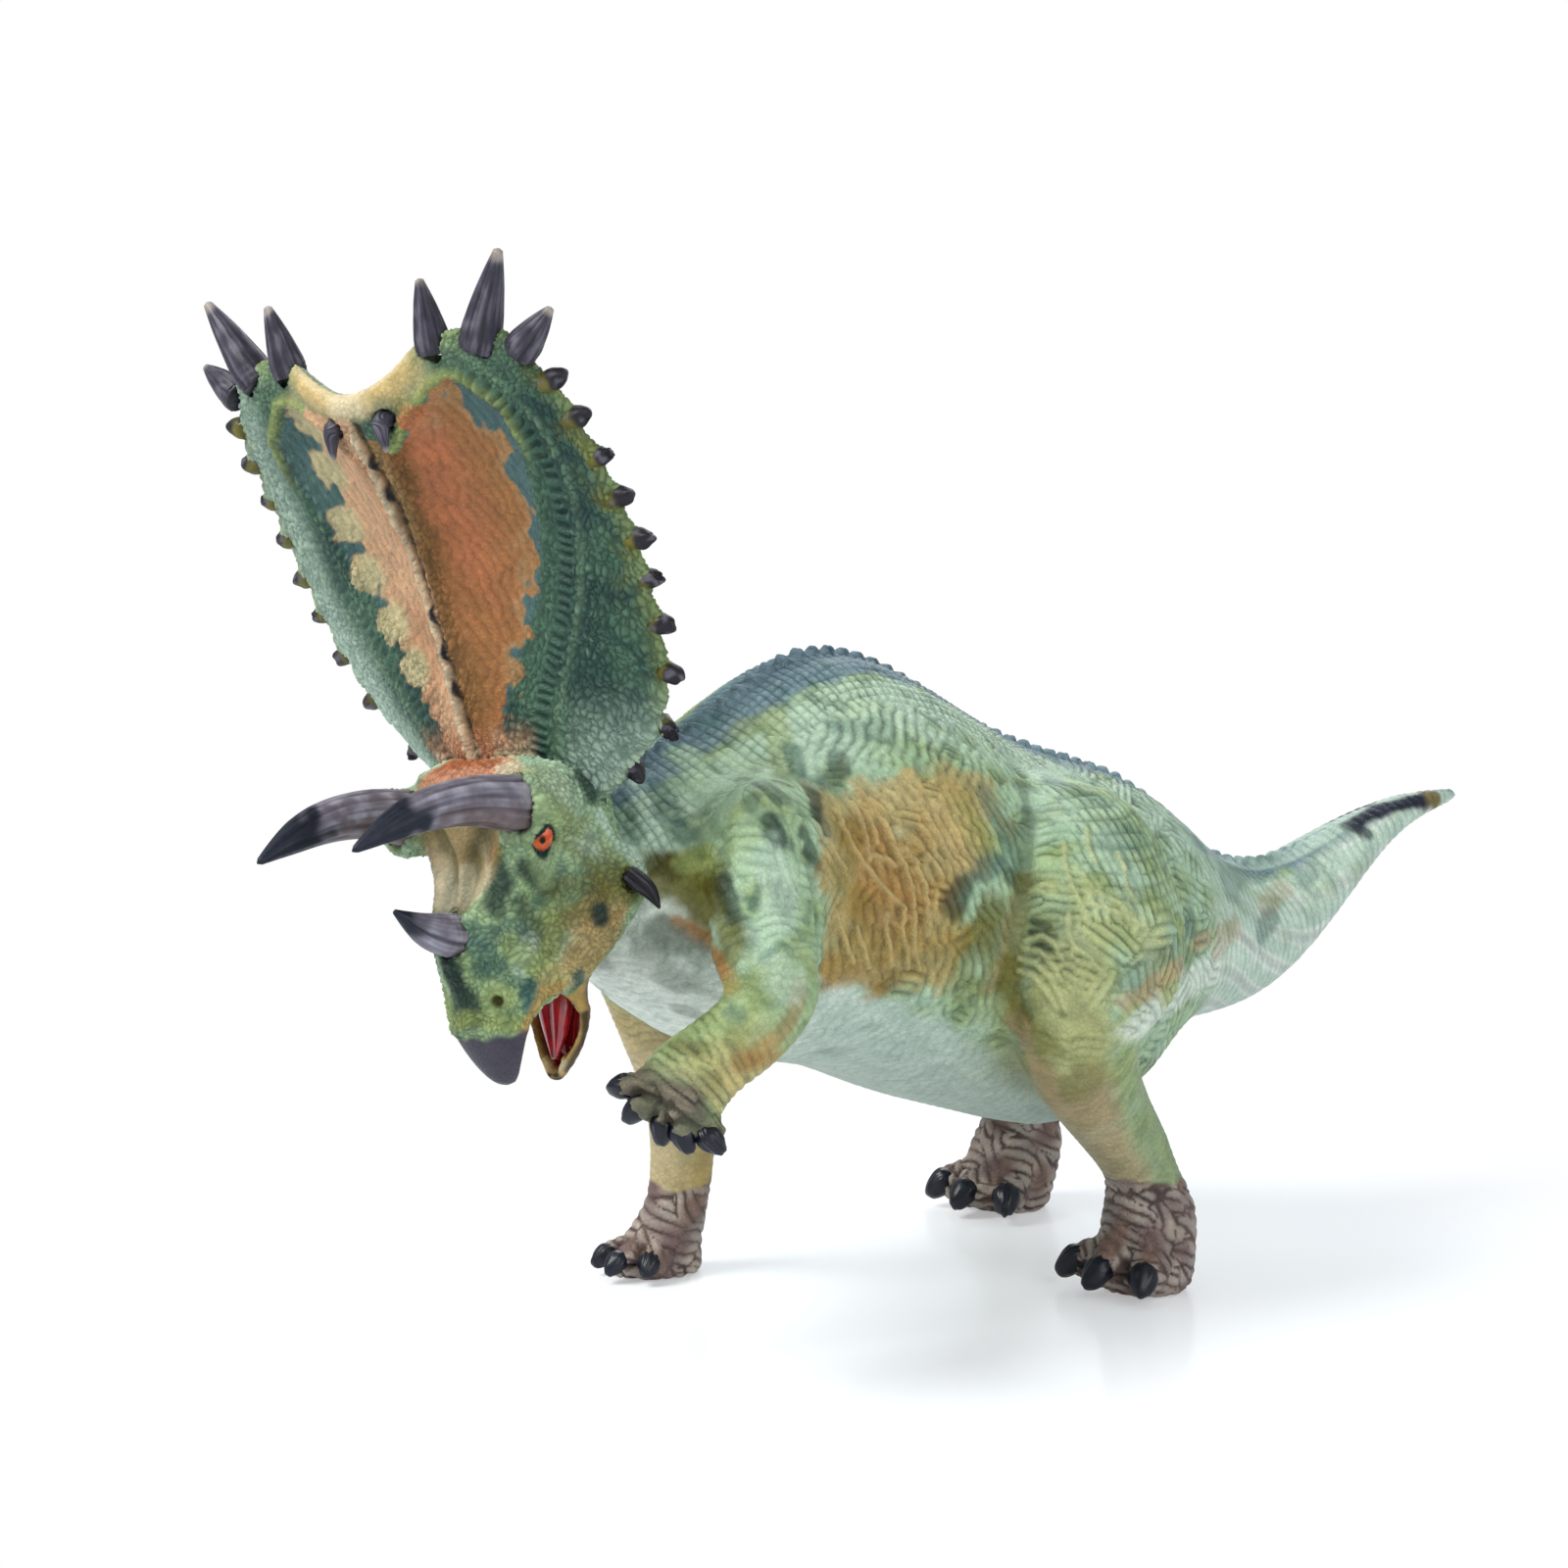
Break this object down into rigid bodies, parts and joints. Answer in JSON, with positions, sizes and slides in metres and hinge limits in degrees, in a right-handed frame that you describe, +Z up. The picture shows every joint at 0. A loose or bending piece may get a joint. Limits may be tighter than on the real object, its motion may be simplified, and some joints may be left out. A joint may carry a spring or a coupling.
{
  "type": "toy dinosaur figure",
  "caption": "Horned dinosaur figure on three feet with one foreleg raised, head down under a tall spiked frill, mouth open and tail up.",
  "frame": {"origin": "middle of the figure's box seen from above, on the ground under the feet", "axes": "-Y towards the head, +X towards the animal's left side, +Z up"},
  "size_m": [0.0706, 0.2026, 0.1351],
  "materials": {
    "painted_skin": "satin paint in greens, tan and cream over moulded skin folds",
    "painted_frill": "satin paint in dark green with an orange hollow",
    "painted_horn": "satin dark grey-purple paint with lengthwise grooves",
    "gloss_mouth": "gloss deep red"
  },
  "bodies": {
    "root": {"torso_left_shell": "painted_skin", "torso_right_shell": "painted_skin", "tail": "painted_skin", "hind_leg_left": "painted_skin", "hind_leg_right": "painted_skin", "foreleg_right": "painted_skin", "foreleg_left": "painted_skin", "skull": "painted_skin", "lower_jaw": "painted_skin", "tongue": "gloss_mouth", "frill": "painted_frill", "brow_horn_left": "painted_horn", "brow_horn_right": "painted_horn", "nose_horn": "painted_horn", "cheek_horn_left": "painted_horn", "cheek_horn_right": "painted_horn", "frill_spike_inner_left": "painted_horn", "frill_spike_middle_left": "painted_horn", "frill_spike_outer_left": "painted_horn", "frill_spike_inner_right": "painted_horn", "frill_spike_middle_right": "painted_horn", "frill_spike_outer_right": "painted_horn", "frill_hook_left": "painted_horn", "frill_hook_right": "painted_horn"}
  },
  "joints": []
}
